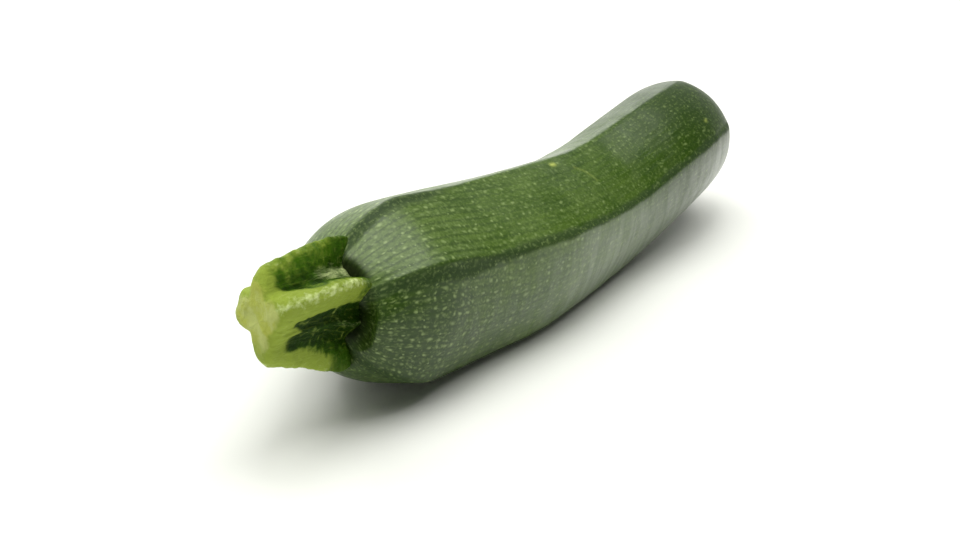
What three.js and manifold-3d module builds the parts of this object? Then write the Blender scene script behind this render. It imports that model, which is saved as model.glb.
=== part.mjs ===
// A courgette (zucchini), as picked: one grown fruit and the stub of stalk it was cut from.
// Millimetres, +Z up. It lies along X with the stalk toward -X. The origin is under the middle of its box.
import * as THREE from 'three';
import Module from 'manifold-3d';

const wasm = await Module();
wasm.setup();

// Driving dimensions of the fruit
const LENGTH = 165; // from the shoulder, where the stalk starts, to the blossom end
const SPINE_Y = [-0.6, 0.5, -4.9, -5, -6.7, -1.1]; // sideways bend, at equal steps along the length
const SPINE_Z = [26.2, 20.5, 18.6, 17.9, 23.1, 21.2]; // height of the middle line at the same steps
const GIRTH = [19.8, 21.2, 20.5, 19.1, 18.5, 18.3, 18.4]; // radius at equal steps, before the ends round off
const SHOULDER = { length: 23.2, power: 1.88 }; // how the stalk end rounds off
const BLOSSOM_END = { length: 26.6, power: 2.6 }; // how the far end rounds off
const RIDGE_TURN = [37, 22, 18]; // angle of the front ridge, in degrees, from the stalk to the far end
const RIDGE_GAPS = [0, 53, 134, 206, 278]; // the five ridges near the stalk, in degrees after the front one
const RIDGE_GAPS_FAR = [0, 67, 145, 214, 283]; // and from the middle to the far end
const GAPS_CHANGE = { from: 25, to: 75 }; // the stretch of the length over which they move apart
const RIDGE_RELIEF = [0.03, 0.08, 0.11, 0.11, 0.075, 0]; // ridge to face, as a share of the radius
const CREST = { height: 1.3, width: 0.17, fade: 16 }; // each ridge stands up as a narrow crest near the stalk
const DIMPLE = { depth: 3.5, radius: 7 }; // the hollow that the stalk grows out of
const SHOULDER_BULGE = { height: 2.2, radius: 12.5, width: 4.5 }; // the faces swell toward the stalk round it
const CREASE = { depth: 2.6, from: 8.6, to: 13 }; // within these radii the faces are sunk round the stalk's foot
const SCAR = { depth: 1.2, radius: 4.5 }; // the small hollow where the flower dropped
const FLAT = 0.4; // the fruit's own weight flattens its underside by this much

// Driving dimensions of the stalk, each listed from its cut end to its foot in the fruit
const STALK_PATH = [[-24.2, -8.4, 37.2], [-10.5, -5.1, 33], [0, -0.7, 28.1], [9, 2, 24.6]];
const RIBS_AT_CUT = [34, 96, 152, 184, 267]; // where its five ribs stand round it, in degrees
const RIBS_AT_FOOT = [31, 78, 171, 243, 299]; // there they run onto the fruit's ridges
const RIB_REACH = [0.95, 1.13, 0.93, 1.04, 1.05]; // no two ribs stand out alike
const RIB_SPREAD = [1.35, 1, 1, 1, 1.15]; // or are equally broad
const RIB_RADIUS = [9.1, 10.4, 11.7, 12.9, 13.7, 12.8]; // out to the ribs
const GROOVE_RADIUS = [5.4, 5.6, 6.2, 7, 8, 8.5]; // out to the bottom of the grooves
const RIB_WIDTH = [0.44, 0.32, 0.26, 0.22, 0.19, 0.18]; // half width of a rib, in radians
const FINE_RIB = { height: 0.8, width: 0.12 }; // a finer rib stands in each groove
const CUT_SLANT = { front: 0.5, top: 0.18 }; // how much further out the cut lies toward the front and top
const CUT_EDGE = { round: 3.6, share: 0.5 }; // the cut end is rounded off over this length and share of its radius
const CLEARANCE = 0.3; // between the stalk and the fruit

// Corners round each ring, and rings along
const ROUND_FRUIT = 84;
const RINGS_MIDDLE = 20;
const RINGS_END = 13;
const ROUND_STALK = 70;
const RINGS_STALK = 19;
const RINGS_EDGE = 4;

const UP = new THREE.Vector3(0, 0, 1);
const rad = THREE.MathUtils.degToRad;

// A smooth line through equally spaced values, t from 0 to 1
function along(values, t) {
  const last = values.length - 1;
  const x = THREE.MathUtils.clamp(t, 0, 1) * last;
  const i = Math.min(Math.floor(x), last - 1);
  const f = x - i;
  const b = values[i];
  const c = values[i + 1];
  const a = i > 0 ? values[i - 1] : 2 * b - c;
  const d = i + 2 <= last ? values[i + 2] : 2 * c - b;
  return 0.5 * (2 * b + (c - a) * f + (2 * a - 5 * b + 4 * c - d) * f ** 2 + (3 * b - a - 3 * c + d) * f ** 3);
}

const bell = (x, width) => Math.exp(-((x / width) ** 2));

// The signed angle from b to a, in radians
function turn(a, b) {
  return Math.atan2(Math.sin(a - b), Math.cos(a - b));
}

// The circle that stands across a middle line: its centre, the way on, its front side and its top side
function across(point, before, after) {
  const onward = after.clone().sub(before).normalize();
  const front = onward.clone().cross(UP).normalize();
  const top = front.clone().cross(onward);
  return { point, onward, front, top };
}

// The place on that circle's rim at an angle, a radius and a step onward
function place(circle, angle, radius, step) {
  return circle.point.clone()
    .addScaledVector(circle.front, radius * Math.cos(angle))
    .addScaledVector(circle.top, radius * Math.sin(angle))
    .addScaledVector(circle.onward, step);
}

// A closed skin over rings of equal count, with a point to close each end
function skin(first, rings, last) {
  const count = rings[0].length;
  const index = [];
  const lastPoint = 1 + rings.length * count;
  const spot = (i, j) => 1 + i * count + (j % count);
  for (let j = 0; j < count; j += 1) {
    index.push(0, spot(0, j), spot(0, j + 1));
    for (let i = 0; i + 1 < rings.length; i += 1) {
      index.push(spot(i, j), spot(i + 1, j), spot(i + 1, j + 1));
      index.push(spot(i, j), spot(i + 1, j + 1), spot(i, j + 1));
    }
    index.push(spot(rings.length - 1, j), lastPoint, spot(rings.length - 1, j + 1));
  }
  const geometry = new THREE.BufferGeometry().setFromPoints([first, ...rings.flat(), last]);
  geometry.setIndex(index);
  return geometry;
}

const turns = (count) => Array.from({ length: count }, (_, j) => (2 * Math.PI * j) / count);

// Fruit: five soft ridges run along it and turn slowly round it
function spineAt(t) {
  const at = (u) => new THREE.Vector3(u * LENGTH, along(SPINE_Y, u), along(SPINE_Z, u));
  return across(at(t), at(Math.max(t - 0.01, 0)), at(Math.min(t + 0.01, 1)));
}

// Where the ridges stand at t, in radians after the front one
function ridgesAt(t) {
  const spread = THREE.MathUtils.smoothstep(t * LENGTH, GAPS_CHANGE.from, GAPS_CHANGE.to);
  return RIDGE_GAPS.map((near, k) => rad(THREE.MathUtils.lerp(near, RIDGE_GAPS_FAR[k], spread)));
}

// How far a face has fallen in between its two ridges: 0 on a ridge, 1 midway
function fallIn(angle, t) {
  const round = THREE.MathUtils.euclideanModulo(angle - rad(along(RIDGE_TURN, t)), 2 * Math.PI);
  const gaps = [...ridgesAt(t), 2 * Math.PI];
  const k = gaps.findIndex((gap) => gap > round) - 1;
  const width = gaps[k + 1] - gaps[k];
  const fromMiddle = Math.abs((2 * (round - gaps[k])) / width - 1);
  const softened = 1 - Math.hypot(1 - fromMiddle, 0.06);
  return (1 - Math.max(softened, 0) ** 2.2) * (width / rad(72));
}

// The narrow crest on each ridge, with a shallow trough each side of it
function crest(angle, t) {
  const rise = ridgesAt(t).map((gap) => {
    const off = Math.abs(turn(angle, rad(along(RIDGE_TURN, t)) + gap));
    return bell(off, CREST.width) - 0.45 * bell(off - 2.2 * CREST.width, 1.2 * CREST.width);
  });
  return CREST.height * Math.exp((-t * LENGTH) / CREST.fade) * rise.reduce((sum, r) => sum + r, 0);
}

// A point of the fruit's skin, s along it, where its end has the given share of the full girth
function fruitPoint(s, share, angle) {
  const t = s / LENGTH;
  const shape = along(GIRTH, t) * (1 - along(RIDGE_RELIEF, t) * (fallIn(angle, t) - 0.4));
  const radius = share * (shape + crest(angle, t));
  const nearStalk = s < LENGTH / 2;
  const sunk = 1 - THREE.MathUtils.smoothstep(radius, CREASE.from, CREASE.to);
  const crease = CREASE.depth * sunk * Math.min(fallIn(angle, t), 1);
  const hollow = DIMPLE.depth * bell(radius, DIMPLE.radius) + crease;
  const swell = SHOULDER_BULGE.height * bell(radius - SHOULDER_BULGE.radius, SHOULDER_BULGE.width);
  const scar = SCAR.depth * bell(radius, SCAR.radius);
  return place(spineAt(t), angle, radius, nearStalk ? hollow - swell * fallIn(angle, t) : -scar);
}

// Steps in from the tip of an end, each with the share of the full girth that it has there
function roundedOff(end) {
  const steps = [];
  for (let i = 1; i < RINGS_END; i += 1) {
    const bow = (Math.PI / 2) * (i / RINGS_END);
    steps.push([end.length * (1 - Math.cos(bow) ** (2 / end.power)), Math.sin(bow) ** (2 / end.power)]);
  }
  return steps;
}

function makeFruit() {
  const stations = roundedOff(SHOULDER);
  const middle = LENGTH - SHOULDER.length - BLOSSOM_END.length;
  for (let i = 0; i <= RINGS_MIDDLE; i += 1) {
    stations.push([SHOULDER.length + (middle * i) / RINGS_MIDDLE, 1]);
  }
  for (const [s, share] of roundedOff(BLOSSOM_END).reverse()) {
    stations.push([LENGTH - s, share]);
  }
  const rings = stations.map(([s, share]) => turns(ROUND_FRUIT).map((a) => fruitPoint(s, share, a)));
  const geometry = skin(fruitPoint(0, 0, 0), rings, fruitPoint(LENGTH, 0, 0));
  geometry.computeBoundingBox();
  const ground = geometry.boundingBox.min.z + FLAT;
  const position = geometry.attributes.position;
  for (let i = 0; i < position.count; i += 1) {
    position.setZ(i, Math.max(position.getZ(i), ground));
  }
  return geometry;
}

// Stalk: a star of five ribs that spreads onto the fruit's ridges
function stalkAt(t) {
  const at = (u) => new THREE.Vector3(...[0, 1, 2].map((axis) => along(STALK_PATH.map((p) => p[axis]), u)));
  return across(at(t), at(Math.max(t - 0.01, 0)), at(Math.min(t + 0.01, 1)));
}

function stalkRadius(t, angle) {
  const ribs = RIBS_AT_CUT.map((cut, k) => rad(THREE.MathUtils.lerp(cut, RIBS_AT_FOOT[k], t)));
  const width = along(RIB_WIDTH, t);
  const fine = ribs.map((rib, k) => {
    const next = ribs[(k + 1) % ribs.length];
    const middle = rib + THREE.MathUtils.euclideanModulo(next - rib, 2 * Math.PI) / 2;
    const grows = THREE.MathUtils.smoothstep(t, 0.05, 0.4);
    return grows * FINE_RIB.height * bell(turn(angle, middle), FINE_RIB.width);
  });
  const groove = along(GROOVE_RADIUS, t) + Math.max(...fine);
  const main = ribs.map((rib, k) => {
    return (RIB_REACH[k] * along(RIB_RADIUS, t) - groove) * bell(turn(angle, rib), RIB_SPREAD[k] * width);
  });
  return groove + Math.hypot(...main);
}

// A point of the stalk's skin, or within its slanting cut at a share of the radius
function stalkPoint(t, angle, share) {
  const radius = share * stalkRadius(t, angle);
  const slant = CUT_SLANT.front * Math.cos(angle) + CUT_SLANT.top * Math.sin(angle);
  const fade = 1 - THREE.MathUtils.smoothstep(t, 0, 0.6);
  return place(stalkAt(t), angle, radius, -slant * radius * fade);
}

function makeStalk() {
  const points = STALK_PATH.map((point) => new THREE.Vector3(...point));
  const length = points.slice(1).reduce((sum, point, k) => sum + point.distanceTo(points[k]), 0);
  const edge = CUT_EDGE.round / length;
  const stations = [[0, 0.25]];
  for (let i = 0; i < RINGS_EDGE; i += 1) {
    const bow = (Math.PI / 2) * (i / RINGS_EDGE);
    stations.push([edge * (1 - Math.cos(bow)), 1 - CUT_EDGE.share * (1 - Math.sin(bow))]);
  }
  for (let i = 0; i <= RINGS_STALK; i += 1) {
    stations.push([THREE.MathUtils.lerp(edge, 1, i / RINGS_STALK), 1]);
  }
  const rings = stations.map(([t, share]) => turns(ROUND_STALK).map((angle) => stalkPoint(t, angle, share)));
  return skin(stalkPoint(0, 0, 0), rings, stalkPoint(1, 0, 0));
}

// A geometry as a solid, for cutting
function solid(geometry) {
  const vertProperties = Float32Array.from(geometry.attributes.position.array);
  const triVerts = Uint32Array.from(geometry.index.array);
  return new wasm.Manifold(new wasm.Mesh({ numProp: 3, vertProperties, triVerts }));
}

// The fruit grown all over by the clearance
function grown(geometry, by) {
  const larger = geometry.clone();
  larger.computeVertexNormals();
  const { position, normal } = larger.attributes;
  for (let i = 0; i < position.count; i += 1) {
    position.setXYZ(
      i,
      position.getX(i) + by * normal.getX(i),
      position.getY(i) + by * normal.getY(i),
      position.getZ(i) + by * normal.getZ(i),
    );
  }
  return larger;
}

const fruitGeometry = makeFruit();
const cutStalk = solid(makeStalk()).subtract(solid(grown(fruitGeometry, CLEARANCE))).getMesh();
const stalkGeometry = new THREE.BufferGeometry();
stalkGeometry.setAttribute('position', new THREE.BufferAttribute(cutStalk.vertProperties, 3));
stalkGeometry.setIndex(new THREE.BufferAttribute(cutStalk.triVerts, 1));

const box = new THREE.Box3();
for (const geometry of [fruitGeometry, stalkGeometry]) {
  geometry.computeBoundingBox();
  box.union(geometry.boundingBox);
}
const middle = box.getCenter(new THREE.Vector3());
for (const geometry of [fruitGeometry, stalkGeometry]) {
  geometry.translate(-middle.x, -middle.y, -box.min.z);
  geometry.computeVertexNormals();
}

const courgette = new THREE.Group();
const fruitSkin = new THREE.MeshStandardMaterial({ color: 0x4a6430, roughness: 0.4, metalness: 0 });
const fruit = new THREE.Mesh(fruitGeometry, fruitSkin);
fruit.name = 'fruit';
const stalkSkin = new THREE.MeshStandardMaterial({ color: 0x8aa050, roughness: 0.6, metalness: 0 });
const stem = new THREE.Mesh(stalkGeometry, stalkSkin);
stem.name = 'stem';
courgette.add(fruit, stem);

export default courgette;
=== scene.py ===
import math

import bpy
import numpy as np
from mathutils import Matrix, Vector, noise


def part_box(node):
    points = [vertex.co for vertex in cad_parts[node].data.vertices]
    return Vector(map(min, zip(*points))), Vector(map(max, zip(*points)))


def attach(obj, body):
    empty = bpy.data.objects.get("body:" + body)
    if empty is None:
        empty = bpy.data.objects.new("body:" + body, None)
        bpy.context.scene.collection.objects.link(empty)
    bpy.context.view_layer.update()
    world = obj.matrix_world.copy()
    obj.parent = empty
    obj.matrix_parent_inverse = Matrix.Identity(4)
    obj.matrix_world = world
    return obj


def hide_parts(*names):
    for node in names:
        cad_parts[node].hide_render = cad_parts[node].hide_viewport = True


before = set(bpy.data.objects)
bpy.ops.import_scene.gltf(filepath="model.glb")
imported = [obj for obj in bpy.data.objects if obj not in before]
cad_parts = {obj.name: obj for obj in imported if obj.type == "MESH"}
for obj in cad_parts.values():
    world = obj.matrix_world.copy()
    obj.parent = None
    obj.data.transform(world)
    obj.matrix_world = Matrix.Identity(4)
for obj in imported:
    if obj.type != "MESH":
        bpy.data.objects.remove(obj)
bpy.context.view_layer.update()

# Fruit. A young courgette, grown in one piece: firm, watery flesh in a thin waxy rind. Five soft ridges
# run along it and turn slowly round it, and its own weight presses a small flat where it lies.
MM = 0.001
LENGTH = 165
# All sizes are millimetres. Its middle line, across and in height, and its radius, at even steps from the
# stalk end
SPINE_Y = [-0.6, 0.5, -4.9, -5, -6.7, -1.1]
SPINE_Z = [26.2, 20.5, 18.6, 17.9, 23.1, 21.2]
GIRTH = [19.8, 21.2, 20.5, 19.1, 18.5, 18.3, 18.4]
# Each end rounds off over this length, and a higher power makes it blunter
SHOULDER_LENGTH, SHOULDER_POWER = 23.2, 1.88
BLOSSOM_LENGTH, BLOSSOM_POWER = 26.6, 2.6
# Degrees from the horizontal up to the front ridge, at even steps, and from that ridge to each one, which
# change between these two distances from the stalk end
RIDGE_TURN = [37, 22, 18]
RIDGE_GAPS = [0, 53, 134, 206, 278]
RIDGE_GAPS_FAR = [0, 67, 145, 214, 283]
GAPS_FROM, GAPS_TO = 25, 75
# The share of the radius by which a face falls away between its ridges, at even steps, and how it bows. The
# radius is the girth's where a face has fallen by FALL_AT_GIRTH of that
RIDGE_RELIEF = [0.03, 0.08, 0.11, 0.11, 0.075, 0.0]
BOW_POWER, RIDGE_SOFTNESS, FALL_AT_GIRTH = 2.2, 0.06, 0.4
EVEN_GAP = math.radians(72)
# Near the stalk each ridge has a crest, with a trough at each side, and a fine line that runs further along.
# Widths of the crest are radians, and the trough's place and width are multiples of it
CREST_HEIGHT, CREST_WIDTH, CREST_FADE = 1.3, 0.17, 16
TROUGH_SHARE, TROUGH_PLACE, TROUGH_WIDTH = 0.45, 2.2, 1.2
LINE_HEIGHT, LINE_WIDTH, LINE_FADE = 0.55, 1.0, 34
# The rind is never quite fair: swellings the size of a thumb tip, and finer ones across its length
SWELLING_DEPTH, SWELLING_SIZE = 0.22, np.array([16, 11, 11])
RIPPLE_DEPTH, RIPPLE_SIZE = 0.05, np.array([3.6, 9, 9])
# The stalk stands in a hollow with a crease round its foot, and the faces bulge round that. The flower left
# a dent at the other end, and the fruit lies on a flat that cuts this much off it
DIMPLE_DEPTH, DIMPLE_RADIUS = 3.5, 7
CREASE_DEPTH, CREASE_FROM, CREASE_TO = 2.6, 8.6, 13
BULGE_HEIGHT, BULGE_RADIUS, BULGE_WIDTH = 2.2, 12.5, 4.5
DENT_DEPTH, DENT_RADIUS = 1.2, 4.5
FLAT = 0.4
# The dark band along each ridge, the front one first, partly the rind's darker green and partly painted
# shade where the face turns away below the crest: how dark it is, how far before its crest, going up round
# from the front, and how wide. It changes between these two distances from the stalk end
BAND_DARK, BAND_DARK_FAR = np.array([1.0, 1.0, 0.8, 0.8, 0.9]), np.array([0.75, 0.0, 0.4, 0.4, 0.5])
BAND_BELOW, BAND_BELOW_FAR = np.array([2.0, 0.9, 0.9, 0.9, 0.9]), np.array([-0.8, 0.0, 0.0, 0.0, 0.0])
BAND_WIDTH, BAND_WIDTH_FAR = 2.4, 1.5
BAND_FROM, BAND_TO = 20, 60
# Painted shade: the green is painted darkest in the hollow round the stalk, where shadow falls. Its soft
# edge is at this radius, and further out above the front ridge, and on the ridges it is only this share as
# dark
SHADE_RADIUS, SHADE_FURTHER_ABOVE, SHADE_SOFTNESS = 11.5, 4, 6
SHADE_ON_RIDGE, SHADE_RISE, RIDGE_BLEND = 0.4, 1.6, 3
# Healed scars: the places that each runs through on the rind of a straight fruit (along it, out toward the
# front ridge and up from that), its half width and its strength
HEALED_SCARS = (
    (((75.8, 9.8, 16.7), (77.0, 9.9, 16.7)), 0.55, 1.0),
    (((82.6, 11.6, 14.3), (84.7, 13.2, 12.2), (85.3, 15.0, 9.7)), 0.4, 0.25),
    (((136.3, 16.7, 6.2), (136.9, 16.7, 6.3)), 0.45, 0.5),
)
SCAR_STEPS = 9
FRUIT_ROUND = 280
FRUIT_RINGS_MIDDLE = 220
FRUIT_RINGS_END = 54


def along(values, t):
    """A smooth line through evenly spaced values, t from 0 to 1."""
    known = np.asarray(values, float)
    last = len(known) - 1
    steps = np.clip(t, 0, 1) * last
    i = np.minimum(np.floor(steps).astype(int), last - 1)
    f = steps - i
    known = np.concatenate([[2 * known[0] - known[1]], known, [2 * known[-1] - known[-2]]])
    a, b, c, d = known[i], known[i + 1], known[i + 2], known[i + 3]
    smooth = 2 * b + (c - a) * f + (2 * a - 5 * b + 4 * c - d) * f**2
    return 0.5 * (smooth + (3 * b - a - 3 * c + d) * f**3)


def bell(x, width):
    return np.exp(-((x / width) ** 2))


def smoothstep(x, low, high):
    share = np.clip((x - low) / (high - low), 0, 1)
    return share * share * (3 - 2 * share)


def turn(a, b):
    """The signed angle from b to a."""
    return np.arctan2(np.sin(a - b), np.cos(a - b))


def place(line, t, angle, radius, step):
    """Points on the circles that stand across a middle line, each moved a step along it."""
    onward = line(np.minimum(t + 0.01, 1)) - line(np.maximum(t - 0.01, 0))
    onward /= np.linalg.norm(onward, axis=-1, keepdims=True)
    front = np.cross(onward, [0.0, 0.0, 1.0])
    front /= np.linalg.norm(front, axis=-1, keepdims=True)
    top = np.cross(front, onward)
    out = front * np.cos(angle)[..., None] + top * np.sin(angle)[..., None]
    return line(t) + out * radius[..., None] + onward * step[..., None]


def rounded_off(length, power, count):
    """Steps in from the tip of an end, and the share of the full girth at each."""
    bow = np.pi / 2 * np.arange(1, count) / count
    return length * (1 - np.cos(bow) ** (2 / power)), np.sin(bow) ** (2 / power)


def spine(t):
    return np.stack([t * LENGTH, along(SPINE_Y, t), along(SPINE_Z, t)], -1)


def ruffle(points, size, seed):
    """Soft noise from -1 to 1 at each point, for swellings of that size."""
    shift = Vector((seed * 7.3, seed * 3.1, seed * 5.7))
    flat = (points / size).reshape(-1, 3)
    return np.array([noise.noise(Vector(p) + shift) for p in flat]).reshape(points.shape[:-1])


def skin_mesh(name, points):
    """A closed mesh over rings of points, whose first and last ring are each one point."""
    count = points.shape[1]
    vertices = np.concatenate([points[0, :1], points[1:-1].reshape(-1, 3), points[-1, :1]])
    rings = points.shape[0] - 2
    ring, here = np.meshgrid(np.arange(rings - 1), np.arange(count), indexing="ij")
    beside = (here + 1) % count
    this_ring = 1 + ring * count
    next_ring = this_ring + count
    quads = np.stack([this_ring + here, next_ring + here, next_ring + beside, this_ring + beside], -1)
    here = np.arange(count)
    beside = (here + 1) % count
    last_ring = 1 + (rings - 1) * count
    start = np.stack([0 * here, 1 + here, 1 + beside], -1)
    end = np.stack([last_ring + here, 0 * here + len(vertices) - 1, last_ring + beside], -1)
    faces = start.tolist() + quads.reshape(-1, 4).tolist() + end.tolist()
    mesh = bpy.data.meshes.new(name)
    mesh.from_pydata((vertices * MM).tolist(), [], faces)
    mesh.shade_smooth()
    piece = bpy.data.objects.new(name, mesh)
    bpy.context.scene.collection.objects.link(piece)
    return piece


def note(piece, name, values):
    """Keeps a number or a vector at each point of a skin mesh, for its material."""
    kind, key = ("FLOAT_VECTOR", "vector") if values.ndim == 3 else ("FLOAT", "value")
    kept = np.concatenate([values[0, :1], values[1:-1].reshape(-1, *values.shape[2:]), values[-1, :1]])
    attribute = piece.data.attributes.new(name, kind, "POINT")
    attribute.data.foreach_set(key, kept.astype(np.float32).ravel())


# Rings of points: s is mm from the stalk end, and share is how much of the full girth a ring has
near_s, near_share = rounded_off(SHOULDER_LENGTH, SHOULDER_POWER, FRUIT_RINGS_END)
far_s, far_share = rounded_off(BLOSSOM_LENGTH, BLOSSOM_POWER, FRUIT_RINGS_END)
middle = np.linspace(SHOULDER_LENGTH, LENGTH - BLOSSOM_LENGTH, FRUIT_RINGS_MIDDLE)
ring_s = np.concatenate([[0], near_s, middle, LENGTH - far_s[::-1], [LENGTH]])
ring_share = np.concatenate([[0], near_share, np.ones(len(middle)), far_share[::-1], [0]])
angles = np.linspace(0, 2 * np.pi, FRUIT_ROUND, endpoint=False)
s, angle = np.meshgrid(ring_s, angles, indexing="ij")
share = np.repeat(ring_share[:, None], FRUIT_ROUND, 1)
t = s / LENGTH
stalk_half = s < LENGTH / 2

# Ridges: how far round from the front one a point lies, how far from each, and how much its face has fallen
from_front = np.mod(angle - np.radians(along(RIDGE_TURN, t)), 2 * np.pi)
spread = smoothstep(s, GAPS_FROM, GAPS_TO)
gaps = [np.radians(near + (far - near) * spread) for near, far in zip(RIDGE_GAPS, RIDGE_GAPS_FAR)]
fall = 0
for gap, following in zip(gaps, gaps[1:] + [2 * np.pi]):
    face_width = following - gap
    from_middle = np.abs(2 * (from_front - gap) / face_width - 1)
    bowed = 1 - np.maximum(1 - np.hypot(1 - from_middle, RIDGE_SOFTNESS), 0) ** BOW_POWER
    on_face = (from_front >= gap) & (from_front < following)
    fall = np.where(on_face, bowed * face_width / EVEN_GAP, fall)
off_ridge = np.array([turn(from_front, gap) for gap in gaps])

# Skin: where it would lie on a straight fruit, then on the bent one
full_radius = along(GIRTH, t) * (1 - along(RIDGE_RELIEF, t) * (fall - FALL_AT_GIRTH))
troughs = TROUGH_SHARE * bell(np.abs(off_ridge) - TROUGH_PLACE * CREST_WIDTH, TROUGH_WIDTH * CREST_WIDTH)
crests = (bell(off_ridge, CREST_WIDTH) - troughs).sum(0)
lines = LINE_HEIGHT * np.exp(-s / LINE_FADE) * bell(off_ridge * full_radius, LINE_WIDTH).sum(0)
radius = share * (full_radius + CREST_HEIGHT * np.exp(-s / CREST_FADE) * crests + lines)
straight = np.stack([s, radius * np.cos(from_front), radius * np.sin(from_front)], -1)
radius = radius - share * SWELLING_DEPTH * (1 + ruffle(straight, SWELLING_SIZE, 1))
radius = radius - share * RIPPLE_DEPTH * (1 + ruffle(straight, RIPPLE_SIZE, 2))
bulge = BULGE_HEIGHT * bell(radius - BULGE_RADIUS, BULGE_WIDTH) * fall
crease = (1 - smoothstep(radius, CREASE_FROM, CREASE_TO)) * np.minimum(fall, 1) * stalk_half
hollow = DIMPLE_DEPTH * bell(radius, DIMPLE_RADIUS) + CREASE_DEPTH * crease
step = np.where(stalk_half, hollow - bulge, -DENT_DEPTH * bell(radius, DENT_RADIUS))
points = place(spine, t, angle, radius, step)
points[..., 2] = np.maximum(points[..., 2], points[..., 2].min() + FLAT)
low, high = (np.array(corner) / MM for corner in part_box("fruit"))
to_frame = (low + high) / 2 - (points.reshape(-1, 3).min(0) + points.reshape(-1, 3).max(0)) / 2
to_frame[0] = high[0] - points[..., 0].max()
to_frame[2] = low[2] - points[..., 2].min()
fruit = skin_mesh("courgette_fruit", points + to_frame)
note(fruit, "rind", straight)

# Bands, partly painted shade, the painted shade in the hollow and the scars, for the rind's colour
nearest = np.abs(off_ridge).argmin(0)
beside_crest = np.take_along_axis(off_ridge, nearest[None], 0)[0] * full_radius
further = smoothstep(s, BAND_FROM, BAND_TO)
dark = BAND_DARK[nearest] * (1 - further) + BAND_DARK_FAR[nearest] * further
below = BAND_BELOW[nearest] * (1 - further) + BAND_BELOW_FAR[nearest] * further
band_width = BAND_WIDTH + (BAND_WIDTH_FAR - BAND_WIDTH) * further
note(fruit, "dark_band", dark * bell(beside_crest + below, band_width))
shade_edge = SHADE_RADIUS + SHADE_FURTHER_ABOVE * smoothstep(straight[..., 2], -RIDGE_BLEND, RIDGE_BLEND)
off_every_ridge = SHADE_ON_RIDGE + (1 - SHADE_ON_RIDGE) * np.minimum(SHADE_RISE * fall, 1)
painted_shade_in_hollow = 1 - smoothstep(radius, shade_edge - SHADE_SOFTNESS, shade_edge)
note(fruit, "shade", painted_shade_in_hollow * off_every_ridge * stalk_half)
scars = np.zeros(s.shape)
for path, half_width, strength in HEALED_SCARS:
    steps = [np.linspace(start, end, SCAR_STEPS) for start, end in zip(path, path[1:])]
    away = np.linalg.norm(straight[..., None, :] - np.concatenate(steps), axis=-1).min(-1)
    scars = np.maximum(scars, strength * bell(away, half_width))
note(fruit, "scars", scars)

# Vein rows: mm along the fruit, and a number for each row round it. The map joins up at the front ridge
ROWS = 64
rows = fruit.data.uv_layers.new(name="rows")
travelled = np.concatenate([[0], np.cumsum(np.linalg.norm(np.diff(points[:, 0], axis=0), axis=1))])
vertex_mm = np.concatenate([[travelled[0]], np.repeat(travelled[1:-1], FRUIT_ROUND), [travelled[-1]]])
vertex_turn = np.concatenate([[0], from_front[1:-1].ravel(), [0]])
loop_vertex = np.zeros(len(fruit.data.loops), int)
fruit.data.loops.foreach_get("vertex_index", loop_vertex)
face_start = np.zeros(len(fruit.data.polygons), int)
face_size = np.zeros(len(fruit.data.polygons), int)
fruit.data.polygons.foreach_get("loop_start", face_start)
fruit.data.polygons.foreach_get("loop_total", face_size)
face_of_loop = np.repeat(np.arange(len(face_start)), face_size)
loop_turn = vertex_turn[loop_vertex]
highest = np.maximum.reduceat(loop_turn, face_start)[face_of_loop]
past_join = (highest > 1.5 * np.pi) & (loop_turn < 0.5 * np.pi)
loop_turn = np.where(past_join, loop_turn + 2 * np.pi, loop_turn)
row_map = np.stack([vertex_mm[loop_vertex], loop_turn * ROWS / (2 * np.pi)], -1)
rows.data.foreach_set("uv", row_map.astype(np.float32).ravel())

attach(fruit, "root")
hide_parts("fruit")

# Waxy green rind: smooth and half glossy, with a dull bloom over chlorophyll green. Pale breathing spots
# lie in rows over its veins, thick at the shoulder and fewer at the far end, and its ridges are darker,
# partly with painted shade. A painted highlight lies on the upper shoulder, and painted shade under it and
# in the hollow
RIND_DARK = "#2b4804"
RIND_MIDDLE = "#3f5b0c"
RIND_LIGHT = "#566f27"
# Painted light in these colours: the shoulder colour is a painted highlight, the end colour also paints
# shade below the front ridge, and the crease colour paints the shade in the hollow
RIND_SHOULDER_HIGHLIGHT = "#63783e"
RIND_END_AND_SHADE = "#1e3602"
RIND_BAND = "#1d3503"
RIND_PAINTED_SHADE = "#101e04"
SPOT_PALE = "#97ab6c"
SPOT_FINE = "#798f4f"
SCAR_PALE = "#b3c05e"
SCAR_CORKY = "#73683c"
RIND_IOR = 1.4
WAX_IOR = 1.45
WAX_ROUGHNESS = 0.3
# Spots: a cell's length in mm, cells across each vein row, a spot's size in cells, the share of cells that
# have one near the stalk and at the far end, how strong it is at each, and its colour
SPOT_LAYERS = (
    (1.8, 2.0, 0.44, (0.9, 0.5), (0.5, 0.22), SPOT_FINE),
    (2.5, 1.0, 0.32, (0.9, 0.2), (0.8, 0.45), SPOT_PALE),
)
A, B, RESULT = 6, 7, 2  # a colour Mix node's two colours and its result
SMOOTH = {"interpolation_type": "SMOOTHSTEP"}
COLOURS = {"data_type": "RGBA"}
PLUS = {"operation": "ADD"}
TIMES = {"operation": "MULTIPLY"}
TIMES_PLUS = {"operation": "MULTIPLY_ADD"}


def colour(text):
    """An sRGB hex colour as linear light, with full alpha."""
    values = [int(text[i : i + 2], 16) / 255 for i in (1, 3, 5)]
    return [v / 12.92 if v <= 0.04045 else ((v + 0.055) / 1.055) ** 2.4 for v in values] + [1]


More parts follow.
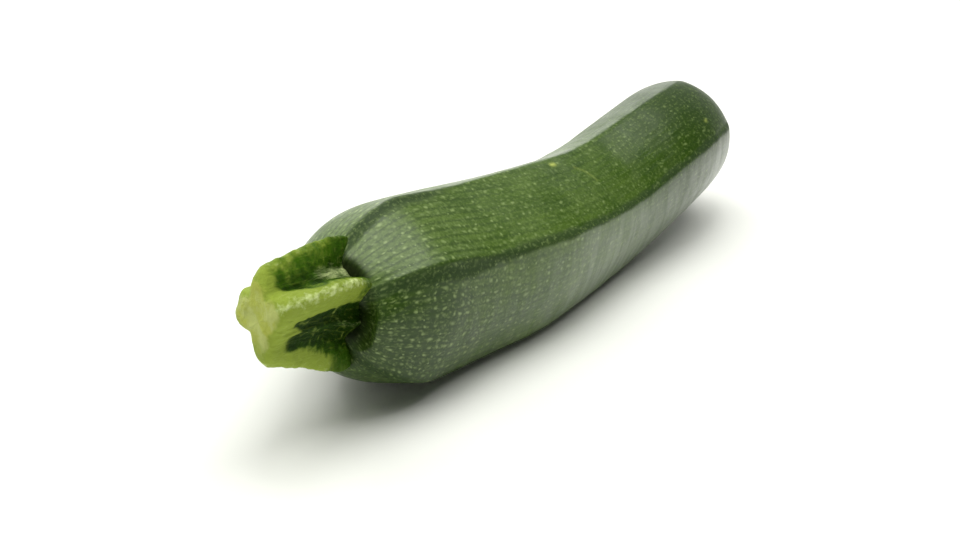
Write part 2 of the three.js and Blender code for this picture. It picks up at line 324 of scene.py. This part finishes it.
def add(kind, inputs=(), result=0, **settings):
    """Adds a node to the open tree, sets or links its inputs, and gives one of its outputs."""
    node = tree.nodes.new("ShaderNode" + kind)
    for name, value in settings.items():
        setattr(node, name, value)
    for name, value in inputs.items() if isinstance(inputs, dict) else enumerate(inputs):
        if isinstance(value, bpy.types.NodeSocket):
            tree.links.new(value, node.inputs[name])
        else:
            node.inputs[name].default_value = colour(value) if isinstance(value, str) else value
    return node.outputs[result] if node.outputs else node


rind = bpy.data.materials.new("waxy_green_rind")
rind.use_nodes = True
tree = rind.node_tree
tree.nodes.clear()
straight_mm = add("Attribute", (), "Vector", attribute_name="rind")
along_mm = add("SeparateXYZ", (straight_mm,))
above_front_mm = add("SeparateXYZ", (straight_mm,), "Z")
rows_map = add("UVMap", (), "UV", uv_map="rows")

# Green: streaks 14 mm by 2.2 mm along the veins, broken by patches 9 mm across, and a fine mottle 0.8 mm
# across that the later layers use too
streak_place = add("VectorMath", (straight_mm, (1 / 14, 1 / 2.2, 1 / 2.2)), **TIMES)
streaks = add("TexNoise", {"Vector": streak_place, "Scale": 1, "Detail": 3, "Roughness": 0.6})
patches = add("TexNoise", {"Vector": straight_mm, "Scale": 1 / 9, "Detail": 3, "Roughness": 0.6})
mottle = add("TexNoise", {"Vector": straight_mm, "Scale": 1 / 0.8, "Detail": 2, "Roughness": 0.6})
streak_share = add("MapRange", (streaks, 0.33, 0.67), **SMOOTH)
green = add("Mix", {0: streak_share, A: RIND_DARK, B: RIND_MIDDLE}, RESULT, **COLOURS)
patch_share = add("MapRange", (patches, 0.35, 0.68, 0.1, 0.65), **SMOOTH)
green = add("Mix", {0: patch_share, A: green, B: RIND_LIGHT}, RESULT, **COLOURS)

# Painted highlight and shade: it is painted paler above the front ridge over the first 70 mm, for the light
# on the upper shoulder, and darker below that ridge over the first 60 mm, for the shade under it, and it is
# darker again toward the blossom end. The patches break all three edges by up to 20 mm
uneven_mm = add("Math", (patches, 40.0, -20.0), **TIMES_PLUS)
along_here = add("Math", (uneven_mm, along_mm), **PLUS)
above_ridge = add("MapRange", (above_front_mm, -5.0, 3.0), **SMOOTH)
below_ridge = add("Math", (above_ridge, -1.0, 1.0), **TIMES_PLUS)
shoulder_highlight_share = add("MapRange", (along_here, 5.0, 70.0, 0.45, 0), **SMOOTH)
shoulder_highlight_share = add("Math", (shoulder_highlight_share, above_ridge), **TIMES)
green = add("Mix", {0: shoulder_highlight_share, A: green, B: RIND_SHOULDER_HIGHLIGHT}, RESULT, **COLOURS)
shade_below_share = add("MapRange", (along_here, 5.0, 60.0, 0.7, 0), **SMOOTH)
shade_below_share = add("Math", (below_ridge, shade_below_share), **TIMES)
green = add("Mix", {0: shade_below_share, A: green, B: RIND_END_AND_SHADE}, RESULT, **COLOURS)
end_share = add("MapRange", (along_here, 80.0, 145.0, 0, 0.9), **SMOOTH)
green = add("Mix", {0: end_share, A: green, B: RIND_END_AND_SHADE}, RESULT, **COLOURS)

# Ridges: a dark band 3 to 5 mm wide with a broken edge lies along each, partly the rind's darker green and
# partly painted shade below the crest, and is fainter past the shoulder on all but the front one
band_attribute = add("Attribute", (), "Fac", attribute_name="dark_band")
band_here = add("Math", (patches, 1.0, band_attribute), **TIMES_PLUS)
band_here = add("Math", (mottle, 0.7, band_here), **TIMES_PLUS)
band_share = add("MapRange", (band_here, 1.15, 1.6, 0, 0.85), **SMOOTH)
green = add("Mix", {0: band_share, A: green, B: RIND_BAND}, RESULT, **COLOURS)

# The mottle darkens and lightens all of it
mottle_dark = add("MapRange", (mottle, 0.3, 0.5, 0.4, 0), **SMOOTH)
green = add("Mix", {0: mottle_dark, A: green, B: RIND_DARK}, RESULT, **COLOURS)
mottle_pale = add("MapRange", (mottle, 0.51, 0.73, 0, 0.42), **SMOOTH)
green = add("Mix", {0: mottle_pale, A: green, B: SPOT_FINE}, RESULT, **COLOURS)

# Vein rows: the green is darker between them near the stalk. They are 2 mm apart at the full girth
across_rows = add("SeparateXYZ", (rows_map,), "Y")
row_across = add("Math", (across_rows, 0.5), operation="PINGPONG")
row_across = add("Math", (mottle, 0.6, row_across), **TIMES_PLUS)
row_fade = add("MapRange", (along_mm, 8.0, 70.0, 0.5, 0.15), **SMOOTH)
row_dark = add("MapRange", (row_across, 0.3, 0.62, 1, 0), **SMOOTH)
row_dark = add("Math", (row_dark, row_fade), **TIMES)
green = add("Mix", {0: row_dark, A: green, B: RIND_BAND}, RESULT, **COLOURS)

# Pale spots: most cells along a vein row hold one, a soft grain about 1 mm long with its own size and
# paleness. They thin out toward the far end and on the bands, and a noise 2.5 mm across moves them about
jitter = add("TexNoise", {"Vector": straight_mm, "Scale": 1 / 2.5, "Detail": 1}, "Color")
jitter = add("VectorMath", (jitter, (0.5, 0.5, 0.5)), operation="SUBTRACT")
clear_of_band = add("Math", (band_share, -0.7, 1.0), **TIMES_PLUS)
for cell_mm, cells_across, size, wanted, strength, pale in SPOT_LAYERS:
    cell_place = add("VectorMath", (rows_map, (1 / cell_mm, cells_across, 0)), **TIMES)
    cell_place = add("VectorMath", (jitter, (1.0, 0.4, 0), cell_place), **TIMES_PLUS)
    cells = {"Vector": cell_place, "Scale": 1, "Randomness": 0.6}
    from_cell = add("TexVoronoi", cells, "Distance", voronoi_dimensions="2D")
    chances = add("TexVoronoi", cells, "Color", voronoi_dimensions="2D")
    chance = add("SeparateColor", (chances,), "Red")
    own_size = add("SeparateColor", (chances,), "Green")
    own_paleness = add("SeparateColor", (chances,), "Blue")
    chosen = add("MapRange", (along_mm, 10.0, 130.0, *wanted), **SMOOTH)
    chosen = add("Math", (chance, chosen), operation="LESS_THAN")
    reach = add("MapRange", (own_size, 0, 1, 0.55 * size, 1.15 * size))
    spot = add("Math", (from_cell, reach), operation="DIVIDE")
    spot = add("MapRange", (spot, 0, 1, 1, 0), **SMOOTH)
    spot = add("Math", (spot, chosen), **TIMES)
    paleness = add("MapRange", (own_paleness, 0, 1, 0.35, 1))
    spot = add("Math", (spot, paleness), **TIMES)
    fade = add("MapRange", (along_mm, 15.0, 110.0, *strength), **SMOOTH)
    spot = add("Math", (spot, fade), **TIMES)
    spot = add("Math", (spot, clear_of_band), **TIMES)
    green = add("Mix", {0: spot, A: green, B: pale}, RESULT, **COLOURS)

# Scars: a few healed scratches are pale, and the flower left a corky one with a ragged edge at the far end
scar_share = add("Attribute", (), "Fac", attribute_name="scars")
green = add("Mix", {0: scar_share, A: green, B: SCAR_PALE}, RESULT, **COLOURS)
from_tip = add("VectorMath", (straight_mm, (LENGTH, 0, 0)), "Value", operation="DISTANCE")
from_tip = add("Math", (mottle, 3.0, from_tip), **TIMES_PLUS)
from_tip = add("Math", (patches, 6.0, from_tip), **TIMES_PLUS)
corky = add("MapRange", (from_tip, 5.6, 8.0, 0.8, 0), **SMOOTH)
green = add("Mix", {0: corky, A: green, B: SCAR_CORKY}, RESULT, **COLOURS)

# Painted shade: the hollow round the stalk's foot is painted nearly black green, where shadow falls
shade_attribute = add("Attribute", (), "Fac", attribute_name="shade")
shade_here = add("Math", (mottle, 0.6, shade_attribute), **TIMES_PLUS)
shade_share = add("MapRange", (shade_here, 0.45, 1.2, 0, 0.9), **SMOOTH)
green = add("Mix", {0: shade_share, A: green, B: RIND_PAINTED_SHADE}, RESULT, **COLOURS)

# Relief: pores 0.6 mm across and 0.04 mm deep, and low swellings 1.8 mm across over the veins
pores = add("TexNoise", {"Vector": straight_mm, "Scale": 1 / 0.6, "Detail": 2, "Roughness": 0.6})
vein_place = add("VectorMath", (straight_mm, (1 / 9, 1 / 1.8, 1 / 1.8)), **TIMES)
veins = add("TexNoise", {"Vector": vein_place, "Scale": 1, "Detail": 1, "Roughness": 0.6})
pore_bump = add("Bump", {"Height": pores, "Strength": 1, "Distance": 0.04 * MM})
vein_bump = add("Bump", {"Height": veins, "Strength": 1, "Distance": 0.16 * MM, "Normal": pore_bump})

# Wax: thin at the shoulder and on the bands, thinner in stripes 2.4 mm wide round the fruit, and dulled by
# handling above the front ridge
across_place = add("VectorMath", (straight_mm, (1 / 2.4, 1 / 14, 1 / 14)), **TIMES)
across = add("TexNoise", {"Vector": across_place, "Scale": 1, "Detail": 2, "Roughness": 0.6})
wax = add("MapRange", (along_mm, 10.0, 85.0, 0.12, 1.0), **SMOOTH)
off_bands = add("Math", (band_share, -0.9, 1.0), **TIMES_PLUS)
wax = add("Math", (wax, off_bands), **TIMES)
stripes = add("MapRange", (across, 0.35, 0.6, 0.6, 1.0), **SMOOTH)
wax = add("Math", (wax, stripes), **TIMES)
dulled = add("MapRange", (along_mm, 50.0, 120.0, 0.35, 0.95), **SMOOTH)
dulled = add("Math", (above_ridge, dulled), **TIMES)
left_bright = add("Math", (dulled, -1.0, 1.0), **TIMES_PLUS)
wax = add("Math", (wax, left_bright), **TIMES)
rough = add("MapRange", (patches, 0.3, 0.7, 0.34, 0.46), **SMOOTH)
rough = add("Math", (band_share, 0.35, rough), **TIMES_PLUS)
shader = add(
    "BsdfPrincipled",
    {
        "Base Color": green,
        "Roughness": rough,
        "IOR": RIND_IOR,
        "Coat Weight": wax,
        "Coat Roughness": WAX_ROUGHNESS,
        "Coat IOR": WAX_IOR,
        "Normal": vein_bump,
    },
)
add("OutputMaterial", {"Surface": shader})
fruit.data.materials.append(rind)

# Stem. The stub of stalk that the fruit was cut from: stringy green stalk with five ribs, each running down
# onto a ridge of the fruit, and a finer rib in each groove. A knife cut it across, a little slantwise.
STALK_PATH = np.array([[-24.2, -8.4, 37.2], [-10.5, -5.1, 33], [0, -0.7, 28.1], [9, 2, 24.6]])
STALK_LENGTH = float(np.linalg.norm(np.diff(STALK_PATH, axis=0), axis=1).sum())
# Degrees up round from the front to each rib, at the cut and at the foot, how far the rib stands out and how
# wide it is, as multiples of the radii and widths below
RIBS_AT_CUT = [34, 96, 152, 184, 267]
RIBS_AT_FOOT = [31, 78, 171, 243, 299]
RIB_TALL = [0.95, 1.13, 0.93, 1.04, 1.05]
RIB_WIDE = [1.35, 1, 1, 1, 1.15]
# The radius at the ribs and in the grooves, and a rib's width in radians, at even steps from cut to foot
RIB_RADIUS = [9.1, 10.4, 11.7, 12.9, 13.7, 12.8]
GROOVE_RADIUS = [5.4, 5.6, 6.2, 7, 8, 8.5]
RIB_WIDTH = [0.44, 0.32, 0.26, 0.22, 0.19, 0.18]
# The fine rib in the groove after each rib: its height, how far across the groove it lies, and its width and
# that of its pale crest in radians. It and its paleness grow up between these shares of the stalk's length
FINE_HEIGHT = [1.3, 0.8, 0.8, 0.8, 0.8]
FINE_PLACE = [0.58, 0.5, 0.5, 0.5, 0.5]
FINE_WIDTH, FINE_PALE_WIDTH = 0.15, 0.2
FINE_FROM_TO, FINE_PALE_FROM_TO = (0.05, 0.4), (0.2, 0.5)
FINE_GREEN = 0.3
# The paleness of each crest and fine rib, partly painted highlight, and how many mm behind the cut the skin
# stays pale, along each rib and along the groove after it
CREST_PALE = [1.0, 0.5, 0.6, 0.5, 0.7]
FINE_PALE = [1.0, 0.4, 0.4, 0.4, 0.5]
RIB_PALE_REACH = [10, 2.5, 6, 6, 9]
GROOVE_PALE_REACH = [1.0, 1.0, 1.0, 1.0, 7.0]
CREST_PALE_WIDE, RIB_REACH_WIDE, GROOVE_REACH_WIDTH, SIDE_SOFTNESS = 0.7, 1.3, 0.5, 0.1
# The cut slants toward the front and the top, its edge is round, and its pith has shrunk unevenly
SLANT_FRONT, SLANT_TOP, SLANT_FADE = 0.5, 0.18, 0.6
EDGE_ROUND, EDGE_SHARE = 3.6, 0.5
HUMP_HEIGHT, HUMP_SIZE = 0.5, 3.2
GRAIN_HEIGHT, GRAIN_SIZE = 0.15, 1.1
# Strings 0.9 mm across run the length of the stalk under its skin, and low warts stand along it
STRING_DEPTH, STRING_SIZE = 0.16, np.array([12, 0.9, 0.9])
WART_DEPTH, WART_SIZE = 0.2, 1.5
UNEVEN_DEPTH, UNEVEN_SIZE = 0.25, 4.5
STEM_ROUND = 320
STEM_RINGS = 190
FACE_RINGS = 22
EDGE_RINGS = 22


def stalk_line(t):
    return np.stack([along(STALK_PATH[:, axis], t) for axis in range(3)], -1)


# Its rings run out over the cut face, round the edge and down the side to a point inside the fruit
edge_t = EDGE_ROUND / STALK_LENGTH
edge_bow = np.linspace(0, np.pi / 2, EDGE_RINGS, endpoint=False)
face_share = np.linspace(0, 1 - EDGE_SHARE, FACE_RINGS, endpoint=False)
edge_share = 1 - EDGE_SHARE + EDGE_SHARE * np.sin(edge_bow)
side_t = np.linspace(edge_t, 1, STEM_RINGS)
ring_share = np.concatenate([face_share, edge_share, np.ones(STEM_RINGS), [0]])
ring_t = np.concatenate([0 * face_share, edge_t * (1 - np.cos(edge_bow)), side_t, [1]])
angles = np.linspace(0, 2 * np.pi, STEM_ROUND, endpoint=False)
t, angle = np.meshgrid(ring_t, angles, indexing="ij")
share = np.repeat(ring_share[:, None], STEM_ROUND, 1)

# Ribs, and the fine one in the groove that follows each
ribs = [np.radians(cut + (foot - cut) * t) for cut, foot in zip(RIBS_AT_CUT, RIBS_AT_FOOT)]
off_rib = [turn(angle, rib) for rib in ribs]
fine = 0
pale_fine = 0
groove_reach = 0
for k, (rib, following) in enumerate(zip(ribs, ribs[1:] + ribs[:1])):
    groove_width = np.mod(following - rib, 2 * np.pi)
    off_fine = turn(angle, rib + groove_width * FINE_PLACE[k])
    off_groove = turn(angle, rib + groove_width / 2)
    height = FINE_HEIGHT[k] * bell(off_fine, FINE_WIDTH) * smoothstep(t, *FINE_FROM_TO)
    pale = FINE_PALE[k] * bell(off_fine, FINE_PALE_WIDTH) * smoothstep(t, *FINE_PALE_FROM_TO)
    fine = np.maximum(fine, height)
    pale_fine = np.maximum(pale_fine, pale)
    groove_reach = np.maximum(groove_reach, GROOVE_PALE_REACH[k] * bell(off_groove, GROOVE_REACH_WIDTH))
groove = along(GROOVE_RADIUS, t) + fine
rib_radius = along(RIB_RADIUS, t)
rib_width = along(RIB_WIDTH, t)
rise = 0
pale_crest = 0
rib_reach = 0
for off, tall, wide, pale, reach in zip(off_rib, RIB_TALL, RIB_WIDE, CREST_PALE, RIB_PALE_REACH):
    rise = rise + ((tall * rib_radius - groove) * bell(off, wide * rib_width)) ** 2
    pale_crest = pale_crest + pale * bell(off, CREST_PALE_WIDE * rib_width)
    rib_reach = rib_reach + reach * bell(off, RIB_REACH_WIDE * rib_width)
rise = np.sqrt(rise)
radius = groove + rise
up_rib = rise / (rib_radius - along(GROOVE_RADIUS, t)) + FINE_GREEN * fine

# The undersides of the front rib and of the lowest one stay pale nearly to its foot
pale_side = 0
for k, low, high in ((0, -0.6 + 0.45 * t, 0.0), (4, -0.9, 0.45 - 0.5 * t)):
    past_low = smoothstep(off_rib[k], low - SIDE_SOFTNESS, low + SIDE_SOFTNESS)
    past_high = smoothstep(off_rib[k], high - SIDE_SOFTNESS, high + SIDE_SOFTNESS)
    pale_side = pale_side + past_low * (1 - past_high)

# Strings, warts and the cut
ring_radius = share * radius
stalk_place = np.stack([t * STALK_LENGTH, ring_radius * np.cos(angle), ring_radius * np.sin(angle)], -1)
strings = ruffle(stalk_place, STRING_SIZE, 3)
warts = ruffle(stalk_place, WART_SIZE, 4)
uneven = ruffle(stalk_place, UNEVEN_SIZE, 5)
radius = radius - STRING_DEPTH * (1 + strings) - WART_DEPTH * (1 + warts) - UNEVEN_DEPTH * (1 + uneven)
slant = SLANT_FRONT * np.cos(angle) + SLANT_TOP * np.sin(angle)
step = -slant * share * radius * (1 - smoothstep(t, 0, SLANT_FADE))
cut_face = 1 - smoothstep(share + t, 0.5, 1)
cut_face[-1] = 0
humps = HUMP_HEIGHT * (1 + ruffle(stalk_place, HUMP_SIZE, 6))
grain = GRAIN_HEIGHT * (1 + ruffle(stalk_place, GRAIN_SIZE, 7))
step = step + cut_face * (humps + grain)
points = place(stalk_line, t, angle, share * radius, step)
stem = skin_mesh("courgette_stem", points + to_frame)
note(stem, "stalk", stalk_place)
note(stem, "rib", up_rib)
note(stem, "pale_crest", pale_crest)
note(stem, "pale_fine", pale_fine)
note(stem, "pale_side", pale_side)
note(stem, "pale_reach", groove_reach + rib_reach)
note(stem, "cut_face", cut_face)
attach(stem, "root")
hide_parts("stem")

# Stringy stalk skin: dull and uneven, dark in the grooves and pale along the rib crests, partly with painted
# highlight. The cut is bare pith, a dry yellow green, and the skin is pale behind it, for longest along the
# ribs.
STALK_GROOVE = "#1a3203"
STALK_FLANK = "#3c6009"
# The crest colour is a painted highlight
STALK_CREST_HIGHLIGHT = "#d2e09e"
STALK_PALE = "#8b9d3c"
STALK_TOE = "#2b4c0a"
PITH = "#aab45a"
PITH_YELLOW = "#a4aa3a"
PITH_GREY = "#b7be80"
PITH_OLIVE = "#7d9038"
STALK_IOR = 1.4
STALK_ROUGHNESS = 0.55
STALK_SPECULAR = 0.06
stalk_skin = bpy.data.materials.new("stringy_stalk")
stalk_skin.use_nodes = True
tree = stalk_skin.node_tree
tree.nodes.clear()
stalk_mm = add("Attribute", (), "Vector", attribute_name="stalk")
from_cut = add("SeparateXYZ", (stalk_mm,))
height_mm = add("SeparateXYZ", (stalk_mm,), "Z")

# Patterns: strings 0.7 mm across, blotches 2 mm across that waver every edge, and speckle 0.9 mm across
string_place = add("VectorMath", (stalk_mm, (1 / 6, 1 / 0.7, 1 / 0.7)), **TIMES)
stringy = add("TexNoise", {"Vector": string_place, "Scale": 1, "Detail": 3, "Roughness": 0.6})
blotches = add("TexNoise", {"Vector": stalk_mm, "Scale": 1 / 2, "Detail": 2, "Roughness": 0.5})
speckle = add("TexNoise", {"Vector": stalk_mm, "Scale": 1 / 0.9, "Detail": 2, "Roughness": 0.6})
waver = add("Math", (blotches, 1.2, -0.6), **TIMES_PLUS)

# Dark grooves and greener flanks, with paler strings
rib_attribute = add("Attribute", (), "Fac", attribute_name="rib")
on_rib = add("Math", (rib_attribute, waver), **PLUS)
flank_share = add("MapRange", (on_rib, 0.1, 0.9), **SMOOTH)
skin_colour = add("Mix", {0: flank_share, A: STALK_GROOVE, B: STALK_FLANK}, RESULT, **COLOURS)
string_share = add("MapRange", (stringy, 0.5, 0.75, 0, 0.25), **SMOOTH)
skin_colour = add("Mix", {0: string_share, A: skin_colour, B: STALK_PALE}, RESULT, **COLOURS)

# Pale yellow green under two ribs and behind the cut, for 1 mm in most grooves and up to 10 mm along a rib
side_attribute = add("Attribute", (), "Fac", attribute_name="pale_side")
side_here = add("Math", (side_attribute, waver), **PLUS)
side_share = add("MapRange", (side_here, 0.2, 0.7, 0, 0.9), **SMOOTH)
skin_colour = add("Mix", {0: side_share, A: skin_colour, B: STALK_PALE}, RESULT, **COLOURS)
reach_attribute = add("Attribute", (), "Fac", attribute_name="pale_reach")
beyond = add("Math", (from_cut, reach_attribute), operation="SUBTRACT")
beyond = add("Math", (blotches, 4.0, beyond), **TIMES_PLUS)
pale_share = add("MapRange", (beyond, 1.0, 3.4, 1, 0), **SMOOTH)
skin_colour = add("Mix", {0: pale_share, A: skin_colour, B: STALK_PALE}, RESULT, **COLOURS)

# Crests are pale green, partly painted highlight, and the front one and the fine ribs carry near-white spots
# of painted highlight
crest_attribute = add("Attribute", (), "Fac", attribute_name="pale_crest")
crest_here = add("Math", (crest_attribute, waver), **PLUS)
crest_share = add("MapRange", (crest_here, 0.1, 0.7, 0, 0.8), **SMOOTH)
skin_colour = add("Mix", {0: crest_share, A: skin_colour, B: STALK_PALE}, RESULT, **COLOURS)
crest_highlight_here = add("Math", (speckle, 1.6, crest_here), **TIMES_PLUS)
crest_highlight_share = add("MapRange", (crest_highlight_here, 1.4, 2.4), **SMOOTH)
skin_colour = add("Mix", {0: crest_highlight_share, A: skin_colour, B: STALK_CREST_HIGHLIGHT}, RESULT, **COLOURS)
fine_attribute = add("Attribute", (), "Fac", attribute_name="pale_fine")
fine_here = add("Math", (stringy, 1.6, fine_attribute), **TIMES_PLUS)
fine_share = add("MapRange", (fine_here, 1.2, 2.2, 0, 0.8), **SMOOTH)
skin_colour = add("Mix", {0: fine_share, A: skin_colour, B: STALK_CREST_HIGHLIGHT}, RESULT, **COLOURS)

# Each rib turns the fruit's own green over the last 5 mm before it meets the fruit
toe_here = add("Math", (blotches, 5.0, from_cut), **TIMES_PLUS)
toe_share = add("MapRange", (toe_here, 23.0, 27.0, 0, 0.85), **SMOOTH)
rib_share = add("MapRange", (on_rib, 0.3, 0.8), **SMOOTH)
toe_share = add("Math", (toe_share, rib_share), **TIMES)
skin_colour = add("Mix", {0: toe_share, A: skin_colour, B: STALK_TOE}, RESULT, **COLOURS)

# Pith: faint yellow and greyish patches about 5 mm across, and olive below
pith_patches = add("TexNoise", {"Vector": stalk_mm, "Scale": 1 / 5, "Detail": 3, "Roughness": 0.6})
grey_share = add("MapRange", (pith_patches, 0.4, 0.6), **SMOOTH)
pith = add("Mix", {0: grey_share, A: PITH_YELLOW, B: PITH_GREY}, RESULT, **COLOURS)
pith = add("Mix", {0: 0.6, A: pith, B: PITH}, RESULT, **COLOURS)
height_here = add("Math", (blotches, 5.0, height_mm), **TIMES_PLUS)
olive_share = add("MapRange", (height_here, -6.0, 0.0, 0.8, 0), **SMOOTH)
pith = add("Mix", {0: olive_share, A: pith, B: PITH_OLIVE}, RESULT, **COLOURS)
cut_attribute = add("Attribute", (), "Fac", attribute_name="cut_face")
cut_here = add("Math", (cut_attribute, waver), **PLUS)
pith_share = add("MapRange", (cut_here, 0.1, 0.7), **SMOOTH)
skin_colour = add("Mix", {0: pith_share, A: skin_colour, B: pith}, RESULT, **COLOURS)

# Relief: the same strings, blotches and speckle, 0.15 to 0.35 mm deep
string_bump = add("Bump", {"Height": stringy, "Strength": 1, "Distance": 0.25 * MM})
wart_bump = add("Bump", {"Height": blotches, "Strength": 1, "Distance": 0.35 * MM, "Normal": string_bump})
fine_bump = add("Bump", {"Height": speckle, "Strength": 1, "Distance": 0.15 * MM, "Normal": wart_bump})
shader = add(
    "BsdfPrincipled",
    {
        "Base Color": skin_colour,
        "Roughness": STALK_ROUGHNESS,
        "IOR": STALK_IOR,
        "Specular IOR Level": STALK_SPECULAR,
        "Normal": fine_bump,
    },
)
add("OutputMaterial", {"Surface": shader})
stem.data.materials.append(stalk_skin)

# Table top. A plain sheet of matt white board, cut far larger than the view so that no edge of it shows.
# It lies level, and the fruit rests on it.
BOARD_WIDTH = 40.0
BOARD_WHITE = "#f2f2f0"
BOARD_ROUGHNESS = 0.9
bpy.ops.mesh.primitive_plane_add(size=BOARD_WIDTH)
board = bpy.context.object
board.name = "white_board"
matt_white = bpy.data.materials.new("matt_white_board")
matt_white.use_nodes = True
tree = matt_white.node_tree
tree.nodes.clear()
shader = add("BsdfPrincipled", {"Base Color": BOARD_WHITE, "Roughness": BOARD_ROUGHNESS})
add("OutputMaterial", {"Surface": shader})
board.data.materials.append(matt_white)

# Light. A white tent round the table: two wide soft boxes overhead at the left and right, a row of panels
# low behind that throw the shadow forward and light the far rim, and weak fills at the side and in front.
LAMP_COLOUR = (0.99, 1.0, 0.95)  # linear light, a hair yellower than white
# A lamp's name, the azimuth and elevation it shines from and its width in degrees, and its strength
LAMPS = (
    ("overhead_left", 240, 72, 44, 1.85),
    ("overhead_right", 60, 72, 44, 1.72),
    ("overhead_front", 0, 72, 44, 0.34),
    ("behind_low", 190, 10, 34, 0.4),
    ("behind_low_middle", 160, 10, 34, 0.15),
    ("behind_low_right", 130, 10, 34, 0.38),
    ("behind", 180, 28, 36, 0.68),
    ("behind_right", 135, 28, 36, 0.38),
    ("side_low", 100, 10, 34, 0.13),
    ("fill", 315, 28, 36, 0.1),
)
ROOM_STRENGTH = 0.03


def direction(azimuth, elevation):
    """The way from the courgette toward a lamp or camera; azimuth 0 is in front and 90 on the +X side."""
    a, e = math.radians(azimuth), math.radians(elevation)
    return Vector((math.sin(a) * math.cos(e), -math.cos(a) * math.cos(e), math.sin(e)))


for name, azimuth, elevation, width, strength in LAMPS:
    lamp = bpy.data.objects.new(name, bpy.data.lights.new(name, "SUN"))
    lamp.data.energy = strength
    lamp.data.angle = math.radians(width)
    lamp.data.color = LAMP_COLOUR
    lamp.rotation_euler = direction(azimuth, elevation).to_track_quat("Z", "Y").to_euler()
    bpy.context.scene.collection.objects.link(lamp)
room = bpy.data.worlds.new("studio")
room.use_nodes = True
bpy.context.scene.world = room
tree = room.node_tree
tree.nodes.clear()
background = add("Background", {"Color": (1, 1, 1, 1), "Strength": ROOM_STRENGTH})
add("OutputWorld", {"Surface": background})
bpy.context.scene.view_settings.view_transform = "Standard"

# Camera. It stands at the front left and looks a little down on the stalk end. Its lens is a normal one, and
# everything is sharp.
CAMERA_AZIMUTH = -54.92
CAMERA_ELEVATION = 25
CAMERA_DISTANCE = 276.32
CAMERA_TARGET = (-23.04, -6.23, 19.82)
CAMERA_LENS = 45
CAMERA_SENSOR = 36
CAMERA_NEAREST = 10
toward = direction(CAMERA_AZIMUTH, CAMERA_ELEVATION)
camera = bpy.data.objects.new("camera", bpy.data.cameras.new("camera"))
camera.data.lens = CAMERA_LENS
camera.data.sensor_width = CAMERA_SENSOR
camera.data.clip_start = CAMERA_NEAREST * MM
camera.location = (Vector(CAMERA_TARGET) + toward * CAMERA_DISTANCE) * MM
camera.rotation_euler = toward.to_track_quat("Z", "Y").to_euler()
bpy.context.scene.collection.objects.link(camera)
bpy.context.scene.camera = camera

bpy.context.view_layer.update()
